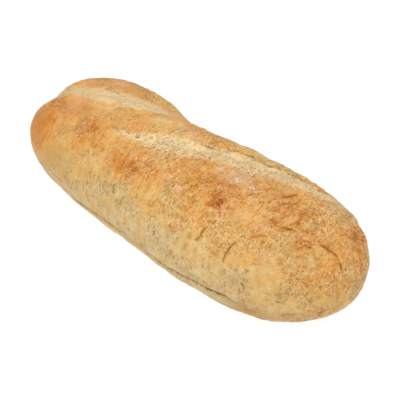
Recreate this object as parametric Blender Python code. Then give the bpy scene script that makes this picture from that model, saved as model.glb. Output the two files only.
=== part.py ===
"""Whole wheat baguette: one short, stubby loaf, baked on a flat tray and slashed twice.

The loaf lies along X, its near end at +X. It rests on its flat base at z = 0, with the
origin under the middle of its outline. Two slanting openings, left by the baker's blade,
cross the crown, and a seam runs along each lower flank, where the rising sides rolled
over the base. Lengths are in metres and angles in degrees.
"""
import math

import bmesh
import bpy
from mathutils import Vector, noise

# Driving dimensions of the loaf
LENGTH = 0.230
WIDTH = 0.0847
WAIST_HEIGHT = 0.0248        # height of the widest place above the tray
CROWN_RISE = 0.0313          # from the waist up to the crown, halfway along
NEAR_END_LIFT = 0.183        # the crown gains this share of its rise at the near end
UNDERSIDE_DEPTH = 0.0303     # the round underside below the waist, before the tray flattens it
WIDTH_TAPER = 0.03           # the near end is wider than the middle by this share
SIDE_BOW = -0.0071           # the loaf curves to this side between its ends

# Section and end curves, as superellipse powers
CROWN_ROUND = 2.09
UNDERSIDE_ROUND = 2.15
FAR_END = (6.8, 2.57)        # how late the far end closes, and how blunt it is
NEAR_END = (4.95, 1.78)
CROWN_CLOSE = 1.20           # the crown comes down sooner than the sides come in
UNDERSIDE_CLOSE = 0.727      # the underside comes up later

# The two openings: start and end in plan, sideways bow, half widths and depths at both ends
FAR_OPENING = {
    "start": (-0.1076, -0.0152), "end": (-0.0265, 0.0267), "bow": 0.0030,
    "half_width": (0.0078, 0.0160), "depth": (0.0022, 0.0034),
    "near_lip": 0.0009, "far_lip": 0.0018, "fade_in": (-0.12, 0.10), "fade_out": (1.0, 1.5),
}
NEAR_OPENING = {
    "start": (-0.0400, -0.0270), "end": (0.0840, 0.0260), "bow": 0.0025,
    "half_width": (0.0062, 0.0068), "depth": (0.0019, 0.0019),
    "near_lip": 0.0004, "far_lip": 0.0006, "fade_in": (-0.08, 0.12), "fade_out": (0.85, 1.1),
}
FLOOR_SHARE = 0.45           # of the half width, the flat floor of an opening
BANK_SHARE = 1.25            # of the half width, where its bank meets the crust
LIP_PLACE = 1.45             # of the half width, the crest of a lip
LIP_SPREAD = 0.5

# The seam along each lower flank
SEAM_HEIGHT = 0.0185
SEAM_DEPTH = 0.0010
SEAM_HALF_WIDTH = 0.0013
FAR_SEAM_DROP = 0.0045       # it runs lower towards the far end
SEAM_END = (0.082, 0.100)    # it starts to fade this far from the middle, and has gone by there

# Uneven rise of the dough
SWELL_SIZE = 0.034
SWELL_HEIGHT = 0.0007
WRINKLE_SIZE = 0.010
WRINKLE_HEIGHT = 0.0003

# Faces: slices along the loaf, columns over the crown and the base, rows up each side
SLICES = 84
COLUMNS = 18
SIDE_ROWS = 17
CAP_FULLNESS = 0.62          # the end caps start where the loaf has this share of its width
CROWN_LEAN = 50.0            # the crown's columns reach this far round from the top
LAST_BASE_LEAN = 160.0       # the base's columns start no further round than this
SEAM_ROW = 11                # this row of each side lies in the seam
SEAM_ROW_LEAN = 2.6          # the rows next to it are this many degrees away
END_CROWDING = 0.35          # share of the slices' spacing that tightens towards the ends

CRUST_COLOUR = (0.69, 0.42, 0.16, 1.0)
CRUST_ROUGHNESS = 0.55


def smoothstep(low, high, value):
    """0 below low, 1 above high, and a smooth rise between them."""
    share = min(max((value - low) / (high - low), 0.0), 1.0)
    return share * share * (3.0 - 2.0 * share)


def signed_power(value, power):
    return math.copysign(abs(value) ** power, value)


def fullness(station):
    """Share of the full width at a station from -1, the far tip, to 1, the near tip."""
    closing, bluntness = FAR_END if station < 0 else NEAR_END
    return (1.0 - abs(station) ** closing) ** (1.0 / bluntness)


def station_of(full, near):
    """The station where the loaf has that share of its full width."""
    closing, bluntness = NEAR_END if near else FAR_END
    reach = (1.0 - full ** bluntness) ** (1.0 / closing)
    return reach if near else -reach


def seam_height(x):
    return SEAM_HEIGHT - FAR_SEAM_DROP * (1.0 - smoothstep(-0.060, -0.030, x))


def underside_lean(height, full):
    """Angle round the section where the round underside is at a height, in degrees."""
    share = (WAIST_HEIGHT - height) / (UNDERSIDE_DEPTH * full ** UNDERSIDE_CLOSE)
    return 90.0 + math.degrees(math.asin(min(share, 1.0) ** (UNDERSIDE_ROUND / 2.0)))


def side_lean(row, seam_lean, base_lean):
    """Angle of a row of a side: the rows crowd round the seam."""
    above, below = seam_lean - SEAM_ROW_LEAN, seam_lean + SEAM_ROW_LEAN
    if row <= SEAM_ROW - 1:
        return CROWN_LEAN + row / (SEAM_ROW - 1) * (above - CROWN_LEAN)
    if row < SEAM_ROW + 1:
        return seam_lean + (row - SEAM_ROW) * SEAM_ROW_LEAN
    share = (row - SEAM_ROW - 1) / (SIDE_ROWS - SEAM_ROW - 1)
    return below + share * (base_lean - below)


def lean_of(across, up, x, full):
    """Angle round the section, 0 at the crown, from a point on the square slice."""
    base_lean = min(underside_lean(0.0, full), LAST_BASE_LEAN)
    if up >= 1.0:
        return across * CROWN_LEAN
    if up <= -1.0:
        return math.copysign(180.0 - abs(across) * (180.0 - base_lean), across)
    row = (1.0 - up) / 2.0 * SIDE_ROWS
    seam_lean = min(underside_lean(seam_height(x), full), base_lean - 4.0 * SEAM_ROW_LEAN)
    return math.copysign(side_lean(row, seam_lean, base_lean), across)


def loaf_point(along, across, up):
    """Where a point of the sliced box, each coordinate from -1 to 1, lies on the smooth loaf."""
    near = along > 0
    ring = max(abs(across), abs(up))
    if ring < 1.0:
        full = CAP_FULLNESS * ring
        station = station_of(full, near)
    else:
        eased = math.sin(along * math.pi / 2.0)
        cap = abs(station_of(CAP_FULLNESS, near))
        station = cap * (along * (1.0 - END_CROWDING) + eased * END_CROWDING)
        full = fullness(station)
    x = station * LENGTH / 2.0
    if ring == 0.0:
        lean = 0.0
    else:
        lean = math.radians(lean_of(across / ring, up / ring, x, full))
    side, height = math.sin(lean), math.cos(lean)
    power = 2.0 / (CROWN_ROUND if height >= 0 else UNDERSIDE_ROUND)
    half_width = WIDTH * (1.0 + WIDTH_TAPER * station) * full / 2.0
    y = half_width * signed_power(side, power) + SIDE_BOW * (1.0 - station ** 2)
    if height >= 0:
        rise = CROWN_RISE * (1.0 + NEAR_END_LIFT * station)
        z = WAIST_HEIGHT + rise * height ** power * full ** CROWN_CLOSE
    else:
        z = WAIST_HEIGHT - UNDERSIDE_DEPTH * (-height) ** power * full ** UNDERSIDE_CLOSE
    return Vector((x, y, max(z, 0.0)))


def opening_relief(point, cut):
    """Height of the crust over the smooth loaf that one opening gives at a point."""
    start, end = Vector(cut["start"]), Vector(cut["end"])
    run = end - start
    offset = point.xy - start
    along = offset.dot(run) / run.length_squared
    across = run.cross(offset) / run.length - cut["bow"] * 4.0 * along * (1.0 - along)
    share = min(max(along, 0.0), 1.2)
    half_width = cut["half_width"][0] + share * (cut["half_width"][1] - cut["half_width"][0])
    depth = cut["depth"][0] + share ** 2 * (cut["depth"][1] - cut["depth"][0])
    place = across / half_width
    relief = depth * (smoothstep(FLOOR_SHARE, BANK_SHARE, abs(place)) - 1.0)
    relief += cut["near_lip"] * math.exp(-((place + LIP_PLACE) / LIP_SPREAD) ** 2)
    relief += cut["far_lip"] * math.exp(-((place - LIP_PLACE) / LIP_SPREAD) ** 2)
    return relief * smoothstep(*cut["fade_in"], along) * (1.0 - smoothstep(*cut["fade_out"], along))


def seam_relief(point):
    """The seam's groove, which fades out before the ends."""
    away = (point.z - seam_height(point.x)) / SEAM_HALF_WIDTH
    return SEAM_DEPTH * math.exp(-away ** 2) * (smoothstep(*SEAM_END, abs(point.x)) - 1.0)


def crust_relief(point, facing_up):
    """All relief at a point of the smooth loaf; none on the flat base."""
    openings = opening_relief(point, FAR_OPENING) + opening_relief(point, NEAR_OPENING)
    uneven = SWELL_HEIGHT * noise.noise(point / SWELL_SIZE)
    uneven += WRINKLE_HEIGHT * noise.noise(point / WRINKLE_SIZE)
    off_tray = smoothstep(0.0, 0.008, point.z)
    return openings * smoothstep(-0.35, 0.15, facing_up) + (uneven + seam_relief(point)) * off_tray


def slice_box(bm, axis, cuts):
    """Cut every edge that runs along an axis into equal pieces."""
    running = []
    for edge in bm.edges:
        span = edge.verts[1].co - edge.verts[0].co
        if abs(span[axis]) > 1e-6:
            running.append(edge)
    bmesh.ops.subdivide_edges(bm, edges=running, cuts=cuts - 1, use_grid_fill=True)


def join_flat_base(bm):
    """Make one face of the part of the base that lies on the tray."""
    flat = [face for face in bm.faces if max(vert.co.z for vert in face.verts) < 1e-7]
    bmesh.ops.dissolve_faces(bm, faces=flat, use_verts=False)


def centre_over_origin(bm):
    """Slide the loaf along the tray until the middle of its outline is over the origin."""
    for axis in (0, 1):
        places = [vert.co[axis] for vert in bm.verts]
        middle = (min(places) + max(places)) / 2.0
        for vert in bm.verts:
            vert.co[axis] -= middle


def make_crust_material():
    material = bpy.data.materials.new("baked_crust")
    material.use_nodes = True
    shader = material.node_tree.nodes["Principled BSDF"]
    shader.inputs["Base Color"].default_value = CRUST_COLOUR
    shader.inputs["Roughness"].default_value = CRUST_ROUGHNESS
    shader.inputs["Metallic"].default_value = 0.0
    return material


def make_loaf(name):
    """A sliced box, wrapped on to the loaf's smooth shape and then raised by the relief."""
    bm = bmesh.new()
    bmesh.ops.create_cube(bm, size=2.0)
    slice_box(bm, 0, SLICES)
    slice_box(bm, 1, COLUMNS)
    slice_box(bm, 2, SIDE_ROWS)
    for vert in bm.verts:
        vert.co = loaf_point(*(round(value, 6) for value in vert.co))
    bm.normal_update()
    moves = []
    for vert in bm.verts:
        moves.append(vert.normal * crust_relief(vert.co, vert.normal.z))
    for vert, move in zip(bm.verts, moves):
        vert.co += move
        vert.co.z = max(vert.co.z, 0.0)
    centre_over_origin(bm)
    join_flat_base(bm)
    bmesh.ops.triangulate(bm, faces=bm.faces[:], quad_method="SHORT_EDGE", ngon_method="BEAUTY")
    bmesh.ops.recalc_face_normals(bm, faces=bm.faces[:])

    mesh = bpy.data.meshes.new(name)
    bm.to_mesh(mesh)
    bm.free()
    mesh.shade_smooth()
    mesh.set_sharp_from_angle(angle=math.radians(60.0))
    mesh.materials.append(make_crust_material())
    loaf = bpy.data.objects.new(name, mesh)
    bpy.context.collection.objects.link(loaf)
    return loaf


for leftover in list(bpy.data.objects):
    bpy.data.objects.remove(leftover, do_unlink=True)
make_loaf("baguette")
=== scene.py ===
# %% [markdown]
# # A short whole wheat baguette
#
# The real object is one loaf of bread, about 230 mm long, baked on a tray. Its skin was stretched while
# the dough was shaped, two slanting cuts were made in it with a blade, and the oven browned what stood
# highest. So there is one piece to model, and nearly all of its looks come from three things: the relief
# that shaping and baking left, the map of where it browned, and the bran of the whole wheat flour.
#
# The CAD model comes in first as a fixed frame. It gives the size and the main form.

# %% The frame
import math
import bpy
import bmesh
import numpy as np
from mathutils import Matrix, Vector, noise
from mathutils.bvhtree import BVHTree
from mathutils.kdtree import KDTree


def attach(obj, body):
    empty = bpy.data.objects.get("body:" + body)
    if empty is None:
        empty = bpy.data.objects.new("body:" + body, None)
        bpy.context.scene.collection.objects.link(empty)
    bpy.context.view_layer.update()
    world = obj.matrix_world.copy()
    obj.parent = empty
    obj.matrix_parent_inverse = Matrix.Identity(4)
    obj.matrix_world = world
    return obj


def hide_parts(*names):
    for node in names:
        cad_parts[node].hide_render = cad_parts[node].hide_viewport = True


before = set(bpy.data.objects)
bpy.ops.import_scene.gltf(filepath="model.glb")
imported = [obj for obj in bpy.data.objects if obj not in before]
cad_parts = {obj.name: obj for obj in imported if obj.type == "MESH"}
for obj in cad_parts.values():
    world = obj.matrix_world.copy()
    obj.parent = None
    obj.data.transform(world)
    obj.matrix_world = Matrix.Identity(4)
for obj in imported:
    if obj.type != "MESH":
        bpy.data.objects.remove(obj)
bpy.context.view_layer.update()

MM = 0.001

# %% [markdown]
# ## The dough's smooth skin
#
# The CAD solid is built of flat faces about 3 mm across, which is right for a part but too coarse for a
# crust. It could be remeshed in voxels, but its faces already run in rows along and round the loaf, and
# wrinkles in a stretched skin do the same. So a copy is merged, its triangles are joined to quads again,
# and a subdivision surface rounds them to quads of about 0.8 mm. That is fine enough for a crease of
# 1.5 mm to be real relief.

# %% A smooth copy of the loaf
def smooth_copy(node, name, levels):
    """Copies a CAD node's mesh, joins it to quads and rounds it with a subdivision surface."""
    bm = bmesh.new()
    bm.from_mesh(node.data)
    bmesh.ops.remove_doubles(bm, verts=bm.verts, dist=0.001 * MM)
    bmesh.ops.join_triangles(
        bm,
        faces=bm.faces,
        angle_face_threshold=math.radians(35),
        angle_shape_threshold=math.radians(40),
    )
    mesh = bpy.data.meshes.new(name)
    bm.to_mesh(mesh)
    bm.free()
    piece = bpy.data.objects.new(name, mesh)
    bpy.context.scene.collection.objects.link(piece)
    rounding = piece.modifiers.new("rounding", "SUBSURF")
    rounding.levels = levels
    rounding.render_levels = levels
    rounded = piece.evaluated_get(bpy.context.evaluated_depsgraph_get())
    piece.data = bpy.data.meshes.new_from_object(rounded)
    piece.modifiers.clear()
    piece.data.name = name
    return piece


loaf = smooth_copy(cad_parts["baguette"], "loaf", levels=2)
print("faces of the loaf:", len(loaf.data.polygons))

# %% [markdown]
# ## A map of the crust
#
# To say where a crease or a brown patch is, the loaf needs places that are easy to read. Two numbers do
# it: the millimetres along the loaf, from the far end at -115 to the near end at 115, and the lean round
# the section in degrees, 0 on the crown's ridge, negative towards the camera's side and positive towards
# the far side. The loaf bows a little, so the lean is measured round its bowed middle line.

# %% Places on the crust
HALF_LENGTH = 115
MIDDLE_AT_THE_ENDS = 5.84
BOW = 7.1
MIDDLE_HEIGHT = 24.8


def middle_line(along):
    """Sideways place of the loaf's middle, in mm."""
    return MIDDLE_AT_THE_ENDS - BOW * (1 - (along / HALF_LENGTH) ** 2)


def lean_at(places):
    """Degrees round the section of places in mm."""
    sideways = places[:, 1] - middle_line(places[:, 0])
    return np.degrees(np.arctan2(sideways, places[:, 2] - MIDDLE_HEIGHT))


def read_vectors(items, field):
    """Reads one vector from each vertex into an array."""
    values = np.empty(len(items) * 3, np.float32)
    items.foreach_get(field, values)
    return values.reshape(-1, 3).astype(float)


places = read_vectors(loaf.data.vertices, "co") / MM
outward = read_vectors(loaf.data.vertices, "normal")
along = places[:, 0]
height = places[:, 2]
lean = lean_at(places)
skin = BVHTree.FromObject(loaf, bpy.context.evaluated_depsgraph_get())
print("places on the crust:", len(places), "lean from", lean.min().round(), "to", lean.max().round())

# %% [markdown]
# A crease or an edge is then a list of stops on that map. A straight run between two stops would cut
# through the loaf, so for every half millimetre a ray is cast from the middle line out to the skin, and
# the points that it hits make the line. One degree of lean is about 0.7 mm of crust, which is measured
# here over the crown. Every place can then ask how far it is from a line, and a smooth ramp turns such a
# distance into a share from 0 to 1.

# %% Lines on the crust
MM_PER_DEGREE = 0.7


def on_crust(x, angle):
    """The point of the crust at a place along the loaf and a lean, in mm."""
    start = Vector((x, middle_line(x), MIDDLE_HEIGHT)) * MM
    turn = math.radians(angle)
    hit = skin.ray_cast(start, Vector((0, math.sin(turn), math.cos(turn))))[0]
    return hit / MM


def drawn_line(stops, step=0.5):
    """Points every half millimetre along a line on the crust that joins its stops."""
    points = []
    for (x0, lean0), (x1, lean1) in zip(stops, stops[1:]):
        length = math.hypot(x1 - x0, (lean1 - lean0) * MM_PER_DEGREE)
        count = max(int(length / step), 1)
        for share in np.arange(count) / count:
            points.append(on_crust(x0 + share * (x1 - x0), lean0 + share * (lean1 - lean0)))
    points.append(on_crust(*stops[-1]))
    return points


def nearest_on(line, spots):
    """For each spot, its distance in mm from a drawn line and how far along the line that is, 0 to 1."""
    tree = KDTree(len(line))
    for number, point in enumerate(line):
        tree.insert(point, number)
    tree.balance()
    found = [tree.find(spot)[1:] for spot in spots]
    numbers, gaps = np.array(found, float).T
    return gaps, numbers / max(len(line) - 1, 1)


def ramp(low, high, values):
    """0 below low, 1 above high and a smooth rise between."""
    share = np.clip((values - low) / (high - low), 0, 1)
    return share * share * (3 - 2 * share)


over_the_crown = drawn_line([(0, -90), (0, 90)])
girth = sum((end - start).length for start, end in zip(over_the_crown, over_the_crown[1:]))
print("one degree of lean is", round(girth / 180, 2), "mm of crust in the middle of the loaf")

# %% [markdown]
# ## Unevenness
#
# Nothing on bread has a clean edge. One field of smooth noise gives all of it: lumps of a chosen size in
# mm, the same each run because it depends only on the place. Squeezing the places along the girth before
# asking draws the lumps out that way, which is how skin wrinkles when a loaf is rolled and then swells.

# %% Uneven fields
NOISE_SHIFT = np.array((31.7, 17.3, 47.9))
ROUND_THE_GIRTH = np.array((1.0, 0.5, 0.5))
RAGGED_REACH = 1.1


def lumps(spots, size, turn):
    """Smooth noise from about -1 to 1, with lumps of a size in mm. Each turn gives another field."""
    return 2 * np.array([noise.noise(spot) for spot in (spots + turn * NOISE_SHIFT) / size])


ragged = np.stack(
    [
        lumps(places, size=5, turn=turn) + 0.45 * lumps(places, size=1.9, turn=turn + 3)
        for turn in (1, 2, 3)
    ],
    axis=1,
)
uneven_places = places + RAGGED_REACH * ragged
uneven_along = uneven_places[:, 0]
uneven_lean = lean_at(uneven_places)
print("ragged edges wander by up to", np.abs(RAGGED_REACH * ragged).max().round(1), "mm")

# %% [markdown]
# ## The two cuts
#
# Each cut opened in the oven into a long pale floor of dough that came up later, so it browned less. One
# edge of a floor is soft, where the skin slid back over the new dough, and the other is a crisper lip. The
# solid already holds the sunk floors and their banks. Here each floor gets its real outline, as stops on
# the map for its near and its far edge, and each edge has a softness in mm. The far floor also fades out
# towards its near end.

# %% The floors' outlines
FAR_FLOOR_NEAR_EDGE = [
    (-103, -16), (-97, -27), (-89, -26), (-81, -23), (-69, -16), (-61, -9), (-51, -3), (-42, 4), (-34, 12),
    (-25, 21), (-18, 28),
]
FAR_FLOOR_FAR_EDGE = [
    (-103, -16), (-101, -8), (-96, 4), (-88, 15), (-81, 25), (-74, 32), (-66, 38), (-59, 45), (-53, 50),
    (-45, 51), (-37, 48), (-28, 40), (-21, 34), (-18, 28),
]
NEAR_FLOOR_NEAR_EDGE = [
    (-40, -34), (-31, -31), (-24, -29), (-17, -28), (-9, -28), (-1, -26), (7, -20), (16, -13), (23, -6),
    (30, -2), (36, 0), (44, 0), (52, 5), (60, 12), (67, 17), (74, 22), (80, 30), (83, 38),
]
NEAR_FLOOR_FAR_EDGE = [
    (-40, -34), (-36, -29), (-30, -24), (-25, -17), (-20, -11), (-16, -4), (-11, 1), (-3, 7), (5, 12),
    (12, 17), (18, 23), (27, 28), (34, 31), (41, 32), (49, 41), (56, 47), (66, 54), (75, 56), (81, 49),
    (83, 38),
]


def inside(outline, x, angle):
    """True for the places inside a closed outline on the map."""
    crossings = np.zeros(len(x), int)
    for (x0, lean0), (x1, lean1) in zip(outline, outline[1:] + outline[:1]):
        if lean0 == lean1:
            continue
        spans = (lean0 > angle) != (lean1 > angle)
        meets = x0 + (angle - lean0) * (x1 - x0) / (lean1 - lean0)
        crossings += spans & (x < meets)
    return crossings % 2 == 1


def softly_inside(near_edge, far_edge, near_softness, far_softness):
    """How far each place is inside two edges, in units of their softness. Outside it is below 0."""
    spots = places + 0.5 * RAGGED_REACH * ragged
    within = inside(near_edge + far_edge[::-1], spots[:, 0], lean_at(spots))
    near_gaps = nearest_on(drawn_line(near_edge), spots)[0]
    far_gaps = nearest_on(drawn_line(far_edge), spots)[0]
    soft = (near_softness * far_gaps + far_softness * near_gaps) / (near_gaps + far_gaps + 0.01)
    return np.where(within, 1, -1) * np.minimum(near_gaps, far_gaps) / soft


far_floor = softly_inside(FAR_FLOOR_NEAR_EDGE, FAR_FLOOR_FAR_EDGE, near_softness=1.8, far_softness=3.2)
far_floor -= 2.2 * ramp(-52, -22, along)
near_floor = softly_inside(NEAR_FLOOR_NEAR_EDGE, NEAR_FLOOR_FAR_EDGE, near_softness=3.4, far_softness=1.1)
floor = np.clip(np.maximum(far_floor, near_floor), -3, 3)
print("share of the crust that is pale floor:", (floor > 0).mean().round(3))

# %% [markdown]
# ## Where the oven browned it
#
# Crust browns where it stands high and dry. The flanks stayed pale khaki, because the swelling side was
# shaded and steamed. Above a line about three quarters of the way up, and lower at both ends, the crust is
# gold, and some patches went further, to orange and brown. Others stayed behind, and have a negative
# strength. The value 0 is pale and 1 is the darkest brown.
#
# Each patch is an oval, written down by its place on the map, about as long, as wide and as strong as the
# real one. Only the orange patch below the near cut's far tip has one sharp edge, so it is given by two
# edges, as a floor is. The near end's tip is a little browner. Where patches meet at the far end they
# would add up to a blob, so the sum is levelled there.

# %% The browning map
BROWN_PATCHES = [
    # along, lean, half length mm, half girth mm, strength
    (-96, -67, 24, 10, 0.44),
    (-108, -40, 8, 18, -0.34),
    (-92, 0, 12, 14, 0.06),
    (-66, 0, 24, 9, 0.10),
    (-28, -25, 5, 4, 0.34),
    (-39, -31, 5, 4, 0.20),
    (-20, -16, 4, 4, 0.20),
    (-6, -71, 6, 4, -0.18),
    (-12, -63, 3, 3, 0.14),
    (42, -17, 5, 4, 0.20),
    (50, -53, 5, 3, 0.18),
    (94, -76, 4, 6, 0.16),
    (92, -38, 4, 6, -0.18),
    (94, 0, 2.5, 10, -0.20),
    (101, -18, 2, 5, 0.22),
    (91, -15, 3, 4, 0.36),
    (60, -20, 6, 5, 0.10),
    (-89, -79, 16, 6, 0.22),
    (-82, -66, 18, 9, 0.22),
    (-78, -86, 14, 5, 0.12),
    (-76, -38, 12, 7, 0.20),
    (-88, -46, 17, 8, 0.26),
    (-67, -29, 6, 4, 0.28),
    (-57, -43, 5, 3, 0.16),
    (-53, -46, 9, 10, 0.30),
    (-88, -86, 22, 10, 0.16),
    (-60, -76, 16, 8, 0.18),
    (-34, -72, 8, 5, 0.18),
    (-58, -20, 12, 5, -0.16),
    (-26, -46, 8, 6, -0.10),
    (-42, -53, 4, 3, 0.24),
    (-6, -57, 4, 3, -0.16),
    (30, -84, 8, 6, -0.22),
    (24, -5, 13, 7, 0.24),
    (43, -27, 14, 8, 0.24),
    (51, -38, 6, 4, 0.62),
    (47, -6, 7, 5, -0.08),
    (70, -12, 14, 8, -0.08),
    (-88, 27, 9, 5, 0.24),
    (66, -34, 6, 4, 0.08),
    (43, -8, 4, 4, -0.12),
    (77, -13, 4, 5, 0.44),
    (57, -9, 4, 3, 0.14),
    (82, -44, 4, 3, 0.20),
    (36, -92, 16, 10, -0.12),
    (55, -83, 8, 5, 0.10),
    (20, -36, 4, 4, -0.14),
    (24, -50, 10, 8, -0.15),
    (42, -46, 6, 5, -0.12),
    (8, -44, 10, 6, 0.12),
    (10, -53, 8, 4, 0.10),
    (-7, -35, 4, 3, 0.14),
    (-3, -46, 5, 3, 0.14),
    (16, -69, 8, 3, 0.20),
    (35, -68, 8, 3, 0.18),
    (71, -68, 2.5, 5, 0.20),
    (78, -69, 6, 3, 0.40),
    (60, -4, 8, 6, 0.20),
    (74, 5, 3, 2.5, 0.30),
    (78, -1, 2.5, 2, 0.28),
    (87, -5, 2.5, 6, 0.32),
    (81, -30, 5, 3, 0.30),
    (77, -30, 3, 3, -0.20),
    (75, -37, 3, 2, 0.20),
    (91, -24, 4, 3, 0.20),
    (98, -30, 3, 6, 0.50),
    (93, -56, 5, 8, -0.10),
    (82, -60, 4, 3, 0.30),
    (104, -10, 5, 4, 0.16),
    (103, 50, 4, 16, 0.34),
    (92, 77, 5, 6, 0.24),
    (82, 9, 4, 7, -0.14),
    (90, 40, 5, 16, -0.18),
    (103, -45, 4, 12, -0.22),
    (-86, 38, 20, 3.5, 0.32),
    # painted shade: darker on the far bank of the far cut
    (-44, 62, 5, 9, 0.16),
    (-20, 48, 18, 14, -0.16),
    (-70, 26, 5, 2.5, 0.12),
    (-16, 10, 15, 7, -0.26),
    (38, 46, 28, 10, -0.36),
    (80, 56, 10, 8, -0.38),
    (78, -62, 18, 18, -0.12),
]
FIRST_PATCH_SHARP_EDGE = [(-25, -47), (-22, -52), (-18, -57), (-12, -62)]
FIRST_PATCH_SOFT_EDGE = [
    (-25, -47), (-15, -47), (-7, -46), (0, -47), (3, -51), (1, -56), (-6, -61), (-12, -62),
]


def spread_from(oval, x, angle):
    """For places on the map, 0 in the middle of an oval, 1 on its edge and more outside."""
    middle_x, middle_angle, half_length, half_girth = oval
    lengthwise = (x - middle_x) / half_length
    girthwise = (angle - middle_angle) * MM_PER_DEGREE / half_girth
    return lengthwise ** 2 + girthwise ** 2


gold_edge_near = 42 - 16 * ramp(84, 110, along) - 6 * ramp(90, 112, -along)
gold_edge_far = 38 - 10 * ramp(92, 112, np.abs(along))
gold_edge = np.where(lean < 0, gold_edge_near, gold_edge_far)
above_gold_edge = height - gold_edge + 2.2 * ragged[:, 2] + 3.5 * lumps(places, size=9, turn=8)
gold = ramp(-7, 8, above_gold_edge)
near_end = ramp(80, 105, along)
browning = 0.10 + 0.32 * gold + (0.08 * near_end - 0.02 * (1 - near_end)) * (1 - gold)
for *oval, strength in BROWN_PATCHES:
    browning += strength * np.exp(-(spread_from(oval, uneven_along, uneven_lean) ** 1.3))
first_patch = softly_inside(
    FIRST_PATCH_SHARP_EDGE, FIRST_PATCH_SOFT_EDGE, near_softness=0.8, far_softness=3.0
)
browning += (0.38 - 0.18 * ramp(-14, 6, along)) * ramp(-1, 1, first_patch)
browning += 0.07 * lumps(uneven_places, size=14, turn=9) + 0.08 * lumps(uneven_places, size=5, turn=10)
browning += 0.05 * ramp(103, 113, along)
browning -= 0.75 * np.maximum(browning - 0.66, 0) * (1 - ramp(-75, -60, along))
print("browning from", browning.min().round(2), "to", browning.max().round(2))

# %% [markdown]
# Where the crust browned it also dried, shrank and wrinkled, while the pale flank and the floors stayed
# smoother, and so did the whole far end and the orange patch below the near cut's far tip. One number for
# roughness follows from that. It rules how strong every fine detail is.

# %% How rough the skin is
in_far_floor = ramp(-1, 1, far_floor)
in_near_floor = ramp(-1, 1, near_floor)
rough = 0.36 + 0.24 * gold + 0.5 * (np.minimum(browning, 0.6) - 0.42)
rough += 0.22 * lumps(places, size=15, turn=14)
rough += (0.24 * ramp(-80, -45, lean) - 0.08) * ramp(40, 90, along) - 0.34 * (1 - ramp(-100, 10, along))
rough += 0.10 * gold * ramp(15, 55, along)
rough = np.clip(rough, 0.08, 1) * (1 - 0.7 * in_far_floor) * (1 - 0.2 * in_near_floor)
rough *= 1 - 0.45 * ramp(-1, 1, first_patch)
print("rough share of the crust:", (rough > 0.5).mean().round(2))

# %% [markdown]
# ## Torn lips, the seam and the creases
#
# Three kinds of line mark the crust. The far lip of the near cut tore away from its floor and left a
# narrow ragged crack, with shorter tears at the cut's far tip and at the other cut. The seam along each
# lower flank is where the loaf swelled over the part that the tray had set. Short creases lie where the
# skin folded, most of them round the girth, and one curls round the near end. The far flank isn't in the
# photograph, so its four creases are guesses. Tears and creases are cut with one tool: a line of stops,
# with a depth and a half width in mm, and a rim that stands up.

# %% Lines cut in the crust
TEARS = [
    # stops, depth, half width
    ([(-34, -31), (-28, -25), (-24, -18)], 0.35, 0.8),
    ([(-28, -29), (-27, -24), (-28, -20)], 0.55, 0.9),
    ([(-25, -27), (-23, -23), (-24, -20)], 0.55, 0.9),
    ([(-20, -19), (-18, -15), (-14, -14)], 0.55, 0.9),
    ([(-16, -24), (-12, -22), (-9, -19)], 0.5, 0.8),
    ([(-16, -6), (-9, 1), (0, 8), (9, 14), (18, 22)], 0.25, 0.8),
    ([(4, 9), (10, 14), (17, 19), (25, 25)], 0.7, 0.8),
    ([(14, 21), (24, 28), (32, 32), (41, 34), (50, 42), (58, 49), (68, 55)], 0.7, 0.9),
    ([(-100, -6), (-88, 18), (-78, 27), (-66, 24), (-58, 27)], 0.30, 1.1),
    ([(-74, 26), (-70, 25), (-67, 28)], 0.55, 0.9),
    ([(-58, 30), (-55, 33)], 0.5, 0.8),
]
CREASES = [
    ([(54, -70), (54.5, -67), (55, -64)], 0.55, 1.2),
    ([(54.5, -67), (55, -62), (56, -57)], 0.65, 0.7),
    ([(72.5, -74), (72, -70), (72, -66), (72.5, -61), (73.5, -56)], 0.85, 0.65),
    ([(76.5, -51), (79, -48), (81, -45), (84, -41)], 0.50, 0.8),
    ([(85, -29), (87, -27), (89, -24), (92, -22)], 0.65, 0.65),
    ([(99, -30), (100, -26)], 0.35, 0.9),
    ([(99, -19), (98, -15)], 0.35, 0.9),
    ([(101, -17), (103, -13), (105, -9), (107, -5), (109, -6)], 0.6, 0.7),
    ([(109, -6), (110, -8), (111.5, -13)], 0.6, 0.7),
    ([(89, -101), (91, -105)], 0.4, 0.8),
    ([(101, -107), (105, -111)], 0.4, 0.8),
    ([(110, -120), (113, -130)], 0.5, 0.8),
    ([(-6, -56), (-4, -51), (-3, -46)], 0.45, 0.8),
    ([(-38, -50), (-38, -57)], 0.4, 0.8),
    ([(-32, -49), (-33, -55)], 0.4, 0.8),
    ([(71, -2), (73, 4), (75, 13)], 0.6, 0.9),
    ([(75, -8), (78, 0), (79, 6)], 0.6, 0.9),
    ([(-62, 58), (-60, 70), (-63, 86)], 0.30, 0.9),
    ([(24, 62), (22, 74), (25, 84)], 0.35, 0.9),
    ([(88, 62), (90, 74), (88, 82)], 0.35, 0.8),
    ([(-106, 40), (-108, 60), (-105, 80)], 0.30, 0.8),
]


def cut_lines(lines, brokenness):
    """Relief in mm, and darkness from 0 to 1, of lines cut in the crust. Broken ones come and go."""
    relief = np.zeros(len(places))
    dark = np.zeros(len(places))
    whole = 1 - brokenness * ramp(-0.1, 0.5, lumps(places, size=4, turn=12))
    for stops, depth, half_width in lines:
        gaps, share = nearest_on(drawn_line(stops), places + 0.35 * ragged)
        taper = whole * np.sqrt(np.clip(1 - np.abs(2 * share - 1) ** 4, 0, 1))
        cut = taper * np.exp(-((gaps / half_width) ** 2))
        rim = taper * np.exp(-(((gaps - 2.4 * half_width) / (1.1 * half_width)) ** 2))
        relief += depth * (0.3 * rim - cut)
        dark = np.maximum(dark, cut * min(depth / 0.8, 1))
    return relief, dark


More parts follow.
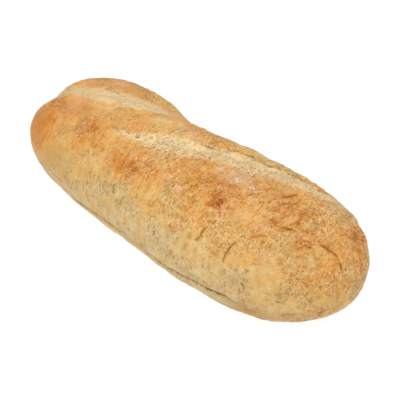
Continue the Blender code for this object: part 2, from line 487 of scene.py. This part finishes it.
tear_relief, tear_dark = cut_lines(TEARS, brokenness=0.8)
crease_relief, crease_dark = cut_lines(CREASES, brokenness=0.2)
print("tears and creases darken", (np.maximum(tear_dark, crease_dark) > 0.3).sum(), "places")

# %% [markdown]
# The seam wanders up and down by a few mm and comes and goes, so it is read from a short table instead.
# The solid has it straight, and that groove is filled first. Under the groove stands a low ledge, and over
# and below the ledge runs a strip of paler crust. The hidden far flank gets the same seam.

# %% The seam over the tray
SEAM = [
    # along, height mm, strength
    (-75, 8.5, 0.3), (-54, 11.2, 0.7), (-42, 14.6, 0.9), (-29, 16.6, 0.8), (-14, 17.1, 0.9), (4, 17.4, 0.6),
    (23, 16.4, 0.5), (32, 15.8, 0.7), (43, 16.3, 0.9), (57, 17.5, 0.9), (70, 17.4, 1.0), (82, 15.7, 0.3),
    (100, 13.5, 0.0),
]
seam_places, seam_heights, seam_strengths = zip(*SEAM)
solid_seam = 18.5 - 4.5 * (1 - ramp(-60, -30, along))
filling = np.exp(-(((height - solid_seam) / 1.4) ** 2)) * (1 - ramp(82, 100, np.abs(along)))
above_seam = height - np.interp(along, seam_places, seam_heights) + 0.5 * ragged[:, 2]
comes_and_goes = 0.7 + 0.3 * ramp(-0.3, 0.3, lumps(places, size=9, turn=5))
seam_runs = np.interp(along, seam_places, seam_strengths) * comes_and_goes
seam_cut = seam_runs * np.exp(-((above_seam / 1.2) ** 2))
seam_ledge = seam_runs * np.exp(-(((above_seam + 2.8) / 1.4) ** 2))
seam_pale = seam_runs * np.exp(-(((above_seam + 4.5) / 3.5) ** 2))
seam_relief = 0.85 * filling + 0.45 * seam_ledge - 1.2 * seam_cut
print("seam runs over", (seam_runs > 0.3).mean().round(2), "of the length")

# %% [markdown]
# ## The skin's own relief
#
# Between those lines the skin isn't smooth. Wide low swells come from gas under the skin, wrinkles a few
# mm apart run round the girth, and the crown is pebbled with blisters about 2 mm across. The floors are
# drawn out dough, smoother than the rest. Every field is in mm of height, so its size can be checked
# against a real loaf. Blisters sit on scattered centres, as bubbles do, so they come from a Voronoi
# pattern, of which only some cells get one.

# %% Blisters
BLISTER_SHIFT = np.array((13.1, 7.7, 3.9))


def blisters(spots, spacing, radius, share, turn):
    """Domes of 0 to 1 on some of a set of scattered centres, sizes in mm."""
    heights = np.zeros(len(spots))
    for number, spot in enumerate((spots + turn * BLISTER_SHIFT) / spacing):
        gaps, centres = noise.voronoi(spot)
        # times 57, so that each centre falls in another cell and draws its own number
        chosen = noise.cell(centres[0] * 57.0)
        if chosen > 1 - 2 * share:
            size = radius * (0.7 + 0.3 * chosen) / spacing
            heights[number] = max(1 - (gaps[0] / size) ** 2, 0) ** 2
    return heights


pebbles = blisters(uneven_places, spacing=4.2, radius=1.7, share=0.45, turn=1)
near_lumps = blisters(places, spacing=9, radius=4.2, share=0.5, turn=2)
near_lumps = near_lumps * ramp(62, 90, along) * ramp(-20, 20, lean)
print("blistered share of the crust:", (pebbles > 0.05).mean().round(2))

# %% [markdown]
# Some forms are too low for the solid and too wide for a pattern: hollows behind the two cuts, a slight
# rise between them, a fuller flank at the far end, four knobs on the far side of the near end, and a tuck
# of the near flank above the tray. Each is an oval on the map again, this time with a height.

# %% Bulges and hollows
BULGES = [
    # along, lean, half length mm, half girth mm, height mm
    (-64, 54, 22, 12, -1.6),
    (-88, 32, 14, 10, -1.1),
    (-92, -79, 16, 10, 0.7),
    (64, 48, 24, 8, -0.8),
    (85, 53, 4, 4, 0.9),
    (90, 63, 4, 4, 0.9),
    (98, 55, 4, 4, 0.8),
    (104, 62, 4, 5, 0.9),
    (-4, 32, 12, 6, 0.3),
    (-20, -118, 40, 8, -0.6),
]
bulging = np.zeros(len(places))
for *oval, rise in BULGES:
    bulging += rise * np.exp(-spread_from(oval, along, lean))
print("bulges and hollows from", bulging.min().round(2), "to", bulging.max().round(2), "mm")

# %% [markdown]
# All of this adds up to one number for each place, by which it moves along its outward normal. Wrinkles,
# folds and pebbles grow with the roughness, and the floors sink a little more. The relief fades out over
# the lowest 5 mm, and the base stays flat, because the tray was.

# %% All relief together
swells = 0.22 * lumps(places, size=20, turn=1) + (0.20 + 0.16 * near_end) * lumps(places, size=9, turn=2)
folds = 0.50 * (0.4 - np.abs(lumps(uneven_places, size=5.5, turn=6)))
wrinkles = 0.36 * (0.4 - np.abs(lumps(uneven_places * ROUND_THE_GIRTH, size=3.0, turn=3)))
pebbling = 0.22 * (pebbles - 0.15) + 0.18 * lumps(places, size=1.7, turn=4)
relief = swells + wrinkles * (0.35 + 0.65 * rough)
relief += (folds + pebbling) * (0.15 + 0.85 * rough)
relief += 0.5 * near_lumps
relief += tear_relief + crease_relief + seam_relief + bulging
relief -= 0.35 * ramp(-1, 1, floor)
relief *= ramp(0.3, 5.0, height)
moved = places + outward * relief[:, None]
moved[:, 2] = np.where(height < 0.02, 0, np.maximum(moved[:, 2], 0))
loaf.data.vertices.foreach_set("co", (moved * MM).astype(np.float32).ravel())
loaf.data.polygons.foreach_set("use_smooth", [True] * len(loaf.data.polygons))
loaf.data.update()
print("relief from", relief.min().round(2), "to", relief.max().round(2), "mm")

# %% [markdown]
# Three more maps are for the finish alone: where the skin is glossy and gets painted glints, where it gets
# a painted sheen, and where it is darker, partly a dull tan and partly painted shade. They are ovals too,
# but here the strongest counts and not the sum, so that neighbours don't add up. The strip by the tray gets
# painted shade as well, most of all towards the near end.

# %% Shine with painted glints, painted sheen, and dull and shaded places
# real gloss for the roughness, and the places of the painted glints
GLOSS_AND_GLINT_SPOTS = [
    # along, lean, half length mm, half girth mm, strength
    (17, -36, 2.5, 5.5, 1.0), (26, -44, 3.5, 2.5, 1.0), (34, -7, 5, 3, 0.9), (48, -12, 5, 3, 0.9),
    (58, -10, 6, 3, 0.9), (58, -41, 1.6, 1.6, 1.0), (-58, -44, 2, 3, 0.8), (95, 62, 2.5, 2.5, 0.9),
    (66, 22, 3, 2, 0.9),
]
# painted sheen: pinkish pale places that stand for a soft highlight
PAINTED_SHEEN_SPOTS = [
    (47, -7, 10, 7, 1.1), (-66, 33, 6, 4, 0.9), (-6, 16, 12, 4, 0.8), (-84, 38, 16, 4, 0.7),
    (-74, -26, 14, 6, 0.5), (-76, 46, 14, 5, 0.4), (-98, 14, 5, 7, 0.6), (-104, -42, 8, 18, 0.8),
    (70, 8, 5, 4, 0.5), (50, 0, 8, 3, 0.5), (50, 74, 12, 6, 0.3), (66, -36, 8, 7, 0.45),
    (-88, 28, 12, 5, 0.55), (84, 58, 5, 5, 0.5), (90, -58, 8, 6, 0.4), (52, -22, 4, 4, 0.4),
    (78, -36, 9, 6, 0.35), (78, -10, 8, 6, 0.25), (-76, -40, 12, 6, 0.45),
]
# places that are darker, partly dull tan crust and partly painted shade
DULL_AND_SHADED_SPOTS = [
    (-90, -72, 20, 10, 0.25), (-60, -80, 16, 10, 0.6), (-66, -30, 7, 6, 0.8), (-41, -22, 5, 12, 0.5),
    (-72, -38, 16, 10, 0.5), (-94, 0, 12, 14, 0.42), (78, -113, 24, 8, 1.0), (96, -57, 16, 32, 0.36),
    (-74, 48, 16, 6, 0.9), (-98, 18, 7, 8, 0.8), (66, -40, 6, 6, 0.4), (80, -66, 9, 5, 0.35),
    (-39, -30, 5, 4, 0.7), (-42, -53, 5, 4, 0.6), (-33, -74, 6, 4, 0.5), (-10, -86, 6, 4, 0.5),
    (10, 64, 8, 6, 0.7), (25, 27, 8, 3, 0.5), (95, 40, 3, 8, 0.5), (-88, 28, 12, 5, 1.0),
    (65, 3, 5, 4, 0.6), (92, -60, 8, 6, 0.3), (-66, -58, 14, 6, 0.35), (-38, -58, 10, 5, 0.35),
    (-82, -77, 14, 4, 0.3), (82, -80, 12, 6, 0.42), (112, 20, 5, 30, 0.3), (-19, -53, 7, 5, 0.35),
]


def spots_on_map(stops):
    """A number that is a spot's strength in its middle on the map and falls to 0 around it."""
    value = np.zeros(len(places))
    for *oval, strength in stops:
        value = np.maximum(value, strength * np.exp(-spread_from(oval, uneven_along, uneven_lean)))
    return value


gloss_and_painted_glints = spots_on_map(GLOSS_AND_GLINT_SPOTS)
painted_sheen = spots_on_map(PAINTED_SHEEN_SPOTS)
to_near_end = ramp(40, 70, along)
# painted shade: the crust is darker towards the bottom, most of all towards the near end
painted_low_shade = (0.15 + 0.85 * to_near_end) * (1 - ramp(0, 8 + 7 * to_near_end, height))
dull_and_shade = np.maximum(painted_low_shade, spots_on_map(DULL_AND_SHADED_SPOTS))
print("share that is glossy:", (gloss_and_painted_glints > 0.3).mean().round(3), "and dull:", (dull_and_shade > 0.3).mean().round(2))

# %% [markdown]
# A material can't read these arrays, so each map is kept on the mesh as an attribute, one number for each
# vertex. Painting them in an image would need a UV map, and the mesh is fine enough without.

# %% Write the maps on to the loaf
MAPS = {
    "browning": browning,
    "rough": rough,
    "floor": floor,
    "near_floor": in_near_floor,
    "crease": crease_dark,
    "tear": tear_dark,
    "seam": seam_cut,
    "ledge": seam_pale,
    "dull_and_shade": dull_and_shade,
    "gloss_and_painted_glints": gloss_and_painted_glints,
    "painted_sheen": painted_sheen,
}
for name, values in MAPS.items():
    field = loaf.data.attributes.new(name, "FLOAT", "POINT")
    field.data.foreach_set("value", values.astype(np.float32))
print("maps on the loaf:", ", ".join(MAPS))

# %% [markdown]
# ## Whole wheat crust
#
# The finish is baked bread crust of whole wheat flour: matt to satin, IOR about 1.45, with no metal in it.
# Its colour runs from khaki through gold to brown as the sugars in it browned. In it lie flakes of bran,
# most of them 1 to 2 mm long and drawn out round the girth by the shaping, and paler grains of starch.
# Colours are read as sRGB hex values. One function adds every node of the material, with its settings and
# links. Patterns are measured in mm on the loaf, and the drawn out ones are stretched round its girth.

# %% Colours and nodes
DRAWN_OUT = 0.62
crust = bpy.data.materials.new("whole_wheat_crust")
crust.use_nodes = True
tree = crust.node_tree
tree.nodes.clear()


def paint(code):
    """An sRGB hex value as the linear colour that a shader takes."""
    channels = [int(code[place:place + 2], 16) / 255 for place in (1, 3, 5)]
    linear = [value / 12.92 if value <= 0.04045 else ((value + 0.055) / 1.055) ** 2.4 for value in channels]
    return (*linear, 1.0)


def one_over(size):
    """Scale of a pattern whose features are a size in mm across."""
    return 1 / (size * MM)


def put(kind, sockets=(), stops=(), **settings):
    """Adds a node. A socket is set to a value or linked, and a node given for it means its first output."""
    node = tree.nodes.new(kind)
    for name, value in settings.items():
        setattr(node, name, value)
    for name, value in dict(sockets).items():
        if isinstance(value, bpy.types.Node):
            value = value.outputs[0]
        if isinstance(value, bpy.types.NodeSocket):
            tree.links.new(value, node.inputs[name])
        else:
            node.inputs[name].default_value = value
    for number, (place, colour) in enumerate(stops):
        if number > 1:
            node.color_ramp.elements.new(place)
        node.color_ramp.elements[number].position = place
        node.color_ramp.elements[number].color = colour
    return node


spot = put("ShaderNodeTexCoord").outputs["Object"]
drawn = put("ShaderNodeMapping", {"Vector": spot, "Scale": (1.0, DRAWN_OUT, DRAWN_OUT)})
on_map = {name: put("ShaderNodeAttribute", attribute_name=name).outputs["Fac"] for name in MAPS}
print("maps in the material:", len(on_map), "and the scale of a pattern of 1 mm:", one_over(1))

# %% [markdown]
# The gold of the crust is a ramp over the browning map. The map is smooth over millimetres, so finer
# patterns are added to it before the ramp: mottling of about 6 mm everywhere, and then strokes 2.6 mm
# wide, drawn out round the girth, and grain of 0.9 mm, both as strong as the skin is rough.

# %% Browned skin
CRUST_STOPS = [
    (0.00, paint("#DDBE85")),
    (0.12, paint("#DDB573")),
    (0.30, paint("#E2AE61")),
    (0.50, paint("#E5A250")),
    (0.70, paint("#D48630")),
    (0.88, paint("#BB6A10")),
    (1.00, paint("#9A5004")),
]


def sum_of(first, second, share):
    """First plus a share of how far second is from 0.5."""
    centred = put("ShaderNodeMath", {0: second, 1: 0.5}, operation="SUBTRACT")
    return put("ShaderNodeMath", {0: centred, 1: share, 2: first}, operation="MULTIPLY_ADD")


browned = on_map["browning"]
roughness_here = on_map["rough"]
rougher = {"Detail": 3.0, "Roughness": 0.6}
mottling = put("ShaderNodeTexNoise", {"Vector": spot, "Scale": one_over(6.0), "Detail": 3.0})
strokes = put("ShaderNodeTexNoise", {"Vector": drawn, "Scale": one_over(2.6), **rougher})
grain = put("ShaderNodeTexNoise", {"Vector": spot, "Scale": one_over(0.9), "Roughness": 0.6})
speckles = sum_of(sum_of(0.0, strokes, 1.30), grain, 0.80)
fine_browning = put("ShaderNodeMath", {0: speckles, 1: roughness_here}, operation="MULTIPLY")
mottled = sum_of(browned, mottling, 0.32)
baked = put("ShaderNodeMath", {0: mottled, 1: fine_browning}, operation="ADD")
skin_colour = put("ShaderNodeValToRGB", {"Fac": baked}, CRUST_STOPS)
print("stops of the crust's ramp:", len(CRUST_STOPS))

# %% [markdown]
# Every other colour is laid over that one, by a share from 0 to 1 that is often a product: of a pattern
# that rises between two numbers, of the places where it belongs, and of how strong it is. The pale skin is
# blotched in khaki and cream over 3.6 mm, where flour on the dough took more or less steam. The floors of
# the cuts have a cream ramp of their own, lighter in the near cut. Mottling and strokes are added to the
# floors' map before it is used, so that their edges are ragged.

# %% Pale skin and pale floors
SMOOTH = {"interpolation_type": "SMOOTHSTEP"}
FLOOR_STOPS = [
    (0.25, paint("#DAB57C")),
    (0.50, paint("#E8C992")),
    (0.75, paint("#F0D7A6")),
]


def lay_over(below, above, *shares):
    """Lays one colour over another, by the product of some shares from 0 to 1."""
    product = shares[0]
    for share in shares[1:]:
        product = put("ShaderNodeMath", {0: product, 1: share}, operation="MULTIPLY")
    # of all the sockets of a Mix node, 6 and 7 take the two colours and 2 gives their mix
    return put("ShaderNodeMix", {0: product, 6: below, 7: above}, data_type="RGBA").outputs[2]


def lay_where(below, above, field, low, high, *shares):
    """Lays one colour over another where a field goes from low to high, by the product of more shares."""
    there = put("ShaderNodeMapRange", {"Value": field, "From Min": low, "From Max": high}, **SMOOTH)
    return lay_over(below, above, there, *shares)


blotches = put("ShaderNodeTexNoise", {"Vector": spot, "Scale": one_over(3.6)})
on_pale_skin = put("ShaderNodeMapRange", {"Value": browned, "From Min": 0.50, "From Max": 0.20}, **SMOOTH)
colour = lay_where(skin_colour, paint("#B98F46"), blotches, 0.50, 0.28, on_pale_skin, 0.40)
colour = lay_where(colour, paint("#EBD09A"), blotches, 0.52, 0.72, on_pale_skin, 0.45)
floor_mottle = sum_of(strokes, grain, 0.4)
floor_colour = put("ShaderNodeValToRGB", {"Fac": floor_mottle}, FLOOR_STOPS)
floor_colour = lay_over(floor_colour, paint("#F8DCA6"), on_map["near_floor"], 0.60)
floor_edge = sum_of(sum_of(on_map["floor"], mottling, 1.5), strokes, 1.5)
colour = lay_where(colour, floor_colour, floor_edge, -1.1, 1.1)
print("floor colours:", len(FLOOR_STOPS))

# %% [markdown]
# Up close the skin is a net of fine wrinkles about 1.3 mm apart. Their tops get a lighter tint, partly dry
# crust and partly painted highlight, and their bottoms a darker, more olive one, partly crust colour and
# partly painted shade. So the same noise that makes the bump also sets two tints: one for tops and one for
# bottoms. Both follow the browning, because a brown patch has brown bottoms and a pale flank olive ones.
# They show most where the skin is rough, and a wide noise makes them come and go.

# %% Tops and bottoms of the wrinkles, with painted highlight and painted shade
WRINKLE_SIZE = 1.3
TOP_HIGHLIGHT_STOPS = [(0.05, paint("#F0D09A")), (0.45, paint("#F8C88C")), (1.00, paint("#E49E5E"))]
BOTTOM_SHADE_STOPS = [(0.05, paint("#A87C38")), (0.45, paint("#B67226")), (1.00, paint("#8E4A10"))]
streaks = put("ShaderNodeTexNoise", {"Vector": drawn, "Scale": one_over(WRINKLE_SIZE)})
wrinkled = sum_of(grain, streaks, 0.9)
top_highlight_tint = put("ShaderNodeValToRGB", {"Fac": browned}, TOP_HIGHLIGHT_STOPS)
bottom_shade_tint = put("ShaderNodeValToRGB", {"Fac": browned}, BOTTOM_SHADE_STOPS)
wide = put("ShaderNodeTexNoise", {"Vector": spot, "Scale": one_over(11.0)})
detail = sum_of(roughness_here, wide, 2.2)
detail_here = put("ShaderNodeMapRange", {"Value": detail, "From Min": -0.25, "From Max": 0.8}, **SMOOTH)
# painted shade in the wrinkles' bottoms and a painted highlight on their tops, over their own colour
colour = lay_where(colour, bottom_shade_tint, wrinkled, 0.43, 0.31, detail_here, 0.90)
colour = lay_where(colour, top_highlight_tint, wrinkled, 0.57, 0.69, detail_here, 0.90)
print("wrinkles are tinted over", WRINKLE_SIZE, "mm")

# %% [markdown]
# A skin that dries and shrinks also folds in thin crooked lines: threads where it stands up, and grooves
# where it tucks under. The bump raises the threads and presses the grooves in, and their colours are
# painted
# light: a painted highlight on the threads and painted shade in the grooves. The line on which a noise
# crosses its middle value is just such a crooked line, so two noises with different places give the threads
# and the grooves, drawn out round the girth like the strokes. Both show where the skin is rough and not too
# pale, the threads where the wide noise is high and the grooves where it is low. The grain breaks the
# threads into short pieces.

# %% Threads with painted highlight and grooves with painted shade
THREAD_WIDTH = 0.40
GROOVE_WIDTH = 0.60


def crooked_lines(size, thickness, place):
    """A share from 0 to 1 along crooked lines, sizes in mm. Each place gives other lines."""
    elsewhere = put("ShaderNodeMapping", {"Vector": drawn, "Location": (place, 0, 0)})
    folded = put("ShaderNodeTexNoise", {"Vector": elsewhere, "Scale": one_over(size)})
    distance = put("ShaderNodeMath", {0: sum_of(0.0, folded, 1.0)}, operation="ABSOLUTE")
    reach = 0.5 * thickness / size
    line = {"Value": distance, "From Min": reach, "From Max": 0.2 * reach}
    return put("ShaderNodeMapRange", line, **SMOOTH)


high = sum_of(roughness_here, wide, 3.4)
low = sum_of(roughness_here, wide, -3.4)
not_pale = put("ShaderNodeMapRange", {"Value": browned, "From Min": 0.06, "From Max": 0.30}, **SMOOTH)
on_high = put("ShaderNodeMapRange", {"Value": high, "From Min": 0.55, "From Max": 1.05}, **SMOOTH)
on_low = put("ShaderNodeMapRange", {"Value": low, "From Min": 0.65, "From Max": 1.15}, **SMOOTH)
pieces = put("ShaderNodeMapRange", {"Value": grain, "From Min": 0.30, "From Max": 0.46}, **SMOOTH)
threads_here = put("ShaderNodeMath", {0: on_high, 1: not_pale}, operation="MULTIPLY")
grooves_here = put("ShaderNodeMath", {0: on_low, 1: not_pale}, operation="MULTIPLY")
long_threads = crooked_lines(3.2, THREAD_WIDTH, 1.0)
long_threads = put("ShaderNodeMath", {0: long_threads, 1: threads_here}, operation="MULTIPLY")
lit_threads = put("ShaderNodeMath", {0: long_threads, 1: pieces}, operation="MULTIPLY")
long_grooves = crooked_lines(4.4, GROOVE_WIDTH, 2.0)
shaded_grooves = put("ShaderNodeMath", {0: long_grooves, 1: grooves_here}, operation="MULTIPLY")
# painted shade in the grooves and a painted highlight on the threads
colour = lay_over(colour, bottom_shade_tint, shaded_grooves, 0.55)
colour = lay_over(colour, top_highlight_tint, lit_threads, 0.68)
print("lit_threads", THREAD_WIDTH, "mm and grooves", GROOVE_WIDTH, "mm wide")

# %% [markdown]
# Low on the loaf, by the tray and most of all towards the near end, painted shade darkens the crust to a
# dull tan, and in some places higher up the dull tan is partly the crust's colour and partly painted shade.
# In others a pinkish pale tint is painted sheen, and where the skin blistered thin, nearly white threads
# are painted glints. All three follow their maps, and strokes or grain are added to each map first, so that
# none has a clean edge.

# %% Painted shade low down, painted sheen and painted glints
PAINTED_GLINT_WIDTH = 0.45
# a dull tan, partly the crust's colour and partly painted shade
colour = lay_where(colour, paint("#B68A4C"), sum_of(on_map["dull_and_shade"], strokes, 0.6), 0.0, 1.0, 0.70)
# painted sheen, a pinkish pale tint
colour = lay_where(colour, paint("#E4B488"), sum_of(on_map["painted_sheen"], strokes, 1.0), 0.1, 0.9, 0.66)
# painted glints: nearly white threads that stand for highlights
painted_glints_here = sum_of(on_map["gloss_and_painted_glints"], grain, 1.6)
painted_glints = crooked_lines(2.0, PAINTED_GLINT_WIDTH, 3.0)
colour = lay_where(colour, paint("#FADCC8"), painted_glints_here, 0.35, 0.85, painted_glints, 0.75)
print("glossy threads", PAINTED_GLINT_WIDTH, "mm wide")

# %% [markdown]
# Bran shows as flecks of olive brown. A Voronoi pattern scatters one centre in each cell of about 4 mm,
# and only some of the cells keep their fleck. The pattern reads the places drawn out round the girth, so
# each fleck is longer than it is wide. A second, redder set is rarer, and starch grains are made in the
# same way, but small, round and pale. A fine noise bends every outline. The smallest bran is too ragged
# for that: it is where a fine noise is at its highest, and so are the crumbs on the floor of the near cut.

# %% Bran and starch
BEND = 1.6
DEEP_STOPS = [(0.10, paint("#98712E")), (0.45, paint("#A86E28")), (1.00, paint("#7A400E"))]
cloud = put("ShaderNodeTexNoise", {"Vector": spot, "Scale": one_over(0.9)}).outputs["Color"]
wobble = put("ShaderNodeVectorMath", {0: cloud, 1: (0.5, 0.5, 0.5)}, operation="SUBTRACT")


def flecks(vector, spacing, radius, kept):
    """A share from 0 to 1 that is 1 in scattered flecks, sizes in mm."""
    amount = (radius * MM * BEND,) * 3
    bent = put("ShaderNodeVectorMath", {0: wobble, 1: amount, 2: vector}, operation="MULTIPLY_ADD")
    cells = put("ShaderNodeTexVoronoi", {"Vector": bent, "Scale": one_over(spacing)})
    fleck_edge = {
        "Value": cells.outputs["Distance"],
        "From Min": 1.25 * radius / spacing,
        "From Max": 0.55 * radius / spacing,
    }
    near = put("ShaderNodeMapRange", fleck_edge, **SMOOTH)
    chance = put("ShaderNodeSeparateColor", {"Color": cells.outputs["Color"]})
    luck = {"Value": chance, "From Min": 1 - kept, "From Max": 1 - kept + 0.25}
    chosen = put("ShaderNodeMapRange", luck, **SMOOTH)
    return put("ShaderNodeMath", {0: near, 1: chosen}, operation="MULTIPLY")


bran = flecks(drawn, spacing=4.2, radius=1.2, kept=0.45)
red_bran = flecks(drawn, spacing=5.5, radius=1.3, kept=0.35)
starch = flecks(spot, spacing=2.0, radius=0.40, kept=0.35)
small_bran = put("ShaderNodeTexNoise", {"Vector": drawn, "Scale": one_over(1.5), "Roughness": 0.6})
crumbs = put("ShaderNodeTexNoise", {"Vector": spot, "Scale": one_over(1.4), "Roughness": 0.6})
in_swarms = put("ShaderNodeMapRange", {"Value": wide, "From Min": 0.36, "From Max": 0.56}, **SMOOTH)
less_on_gold = put("ShaderNodeMapRange", {"Value": browned, "From Min": 0.75, "From Max": 0.10}, **SMOOTH)
deep_tint = put("ShaderNodeValToRGB", {"Fac": browned}, DEEP_STOPS)
colour = lay_over(colour, deep_tint, bran, less_on_gold, 0.45)
colour = lay_where(colour, deep_tint, small_bran, 0.58, 0.68, in_swarms, less_on_gold, 0.70)
colour = lay_where(colour, paint("#8C642A"), crumbs, 0.57, 0.67, on_map["near_floor"], 0.42)
colour = lay_over(colour, paint("#B97636"), red_bran, 0.35)
colour = lay_over(colour, paint("#F8D597"), starch, 0.40)
print("flecks: bran, small bran, crumbs, red bran, starch")

# %% [markdown]
# The lines that were cut in the crust get their colours last, over all the rest. Creases, tears and the
# seam are darker, as little light gets into them, and the strip under the seam is paler. Grain and streaks
# fray the dark ones, so that they don't look drawn with a pen.

# %% Creases, tears and seam
CREASE_STOPS = [(0.12, paint("#9E782A")), (0.40, paint("#B0701C")), (1.00, paint("#86480E"))]
crease_tint = put("ShaderNodeValToRGB", {"Fac": browned}, CREASE_STOPS)
colour = lay_where(colour, crease_tint, sum_of(on_map["crease"], grain, 0.7), 0.10, 0.55, 0.92)
colour = lay_where(colour, paint("#80622A"), sum_of(on_map["tear"], grain, 2.4), 0.25, 0.75, 0.80)
colour = lay_where(colour, paint("#D4C182"), on_map["ledge"], 0.2, 0.9, 0.65)
colour = lay_where(colour, paint("#7C5210"), sum_of(on_map["seam"], streaks, 1.2), 0.20, 0.80, 0.90)
print("lines coloured: creases, tears, the seam and the pale strip under it")

# %% [markdown]
# The surface is satin all over, a little more or less so from one streak to the next, and shinier in a few
# spots where the skin blistered thin. Its fine relief, under the size that the mesh holds, is bump: grains
# of about 0.5 mm on the wrinkles of 0.9 to 1.3 mm, with the grooves pressed in and the threads raised.

# %% Satin and grain
BUMP_HEIGHT = 1.1
grain_fine = put("ShaderNodeTexNoise", {"Vector": spot, "Scale": one_over(0.55), "Detail": 1.0})
fine_height = sum_of(sum_of(sum_of(wrinkled, grain_fine, 0.35), shaded_grooves, -0.20), lit_threads, 0.15)
bump = {"Height": fine_height, "Strength": detail_here, "Distance": BUMP_HEIGHT * MM}
bumped = put("ShaderNodeBump", bump)
streaky_satin = sum_of(0.52, streaks, 0.25)
satin = put("ShaderNodeMath", {0: on_map["gloss_and_painted_glints"], 1: -0.22, 2: streaky_satin}, operation="MULTIPLY_ADD")
surface = put(
    "ShaderNodeBsdfPrincipled",
    {"Base Color": colour, "Roughness": satin, "Normal": bumped, "IOR": 1.45, "Specular IOR Level": 0.35},
)
put("ShaderNodeOutputMaterial", {"Surface": surface})
loaf.data.materials.clear()
loaf.data.materials.append(crust)
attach(loaf, "root")
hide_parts("baguette")
print("nodes in the crust's material:", len(tree.nodes))

# %% [markdown]
# ## The white table, the light and the camera
#
# The photograph was taken over a white surface under wide soft light, with hardly a shadow. Its background
# is pure white, and the loaf's lower edges are bright, as over a white table lit from below. So the floor
# is a large sheet of matt paper that glows. Its own colour is dark, so that what the lamps add to the
# glow, and the loaf's shadow in it, hardly show.

# %% The floor
TABLE_RADIUS = 4.0
GLOWING_PAPER = {
    "Base Color": paint("#585858"),
    "Roughness": 0.9,
    "Specular IOR Level": 0.1,
    "Emission Color": paint("#FFFFFF"),
    "Emission Strength": 0.95,
}
bm = bmesh.new()
bmesh.ops.create_circle(bm, cap_ends=True, radius=TABLE_RADIUS, segments=96)
table_mesh = bpy.data.meshes.new("table")
bm.to_mesh(table_mesh)
bm.free()
table = bpy.data.objects.new("table", table_mesh)
bpy.context.scene.collection.objects.link(table)
paper = bpy.data.materials.new("matt_white_paper")
paper.use_nodes = True
for name, value in GLOWING_PAPER.items():
    paper.node_tree.nodes["Principled BSDF"].inputs[name].default_value = value
table_mesh.materials.append(paper)
print("table radius:", TABLE_RADIUS, "m")

# %% [markdown]
# Three wide lamps and a white world light the loaf. The key hangs high in front of the loaf, a little to
# the camera's left, which makes the crown lighter than the flank. The other two stand on the loaf's far
# side, one beyond each end, and fill the far side and the two ends. The Standard view keeps the colours
# as they are painted.

# %% The lamps and the world
WORLD_LIGHT = 0.38


def soft_lamp(name, place, side, power):
    """A square area lamp that looks at the loaf."""
    lamp = bpy.data.lights.new(name, "AREA")
    lamp.shape = "SQUARE"
    lamp.size = side
    lamp.energy = power
    holder = bpy.data.objects.new(name, lamp)
    holder.location = place
    holder.rotation_mode = "QUATERNION"
    holder.rotation_quaternion = (Vector(place) - Vector((0, 0, 0.03))).to_track_quat("Z", "Y")
    bpy.context.scene.collection.objects.link(holder)


soft_lamp("key", place=(0.25, -0.34, 0.85), side=0.55, power=6.25)
soft_lamp("back", place=(-0.80, 0.25, 0.75), side=0.4, power=1.3)
soft_lamp("fill", place=(0.8, 0.6, 0.9), side=1.0, power=2.5)
world = bpy.data.worlds.new("white_room")
world.use_nodes = True
background = world.node_tree.nodes["Background"]
background.inputs["Color"].default_value = paint("#FFFFFF")
background.inputs["Strength"].default_value = WORLD_LIGHT
bpy.context.scene.world = world
bpy.context.scene.view_settings.view_transform = "Standard"
print("lamps:", [lamp.name for lamp in bpy.data.lights])

# %% [markdown]
# The camera looks down on the loaf from beside its near end. It could be placed by hand until the picture
# looks right, but here its angles, its distance and its lens come from fitting the loaf's outline in the
# photograph, which also gave the loaf's proportions.

# %% The camera
CAMERA_SIDE = 50.0
CAMERA_RISE = 33.44
CAMERA_AWAY = 0.6892
LENS_LENGTH = 118.03
SENSOR_WIDTH = 36
LOOKS_AT = Vector((0.0053, 0.0058, 0.0195))
side = math.radians(CAMERA_SIDE)
rise = math.radians(CAMERA_RISE)
back = Vector((math.sin(side) * math.cos(rise), -math.cos(side) * math.cos(rise), math.sin(rise)))
lens = bpy.data.cameras.new("camera")
lens.sensor_fit = "HORIZONTAL"
lens.sensor_width = SENSOR_WIDTH
lens.lens = LENS_LENGTH
camera = bpy.data.objects.new("camera", lens)
camera.rotation_mode = "QUATERNION"
camera.location = LOOKS_AT + back * CAMERA_AWAY
camera.rotation_quaternion = (-back).to_track_quat("-Z", "Y")
bpy.context.scene.collection.objects.link(camera)
bpy.context.scene.camera = camera
print("camera at", [round(value, 3) for value in camera.location])
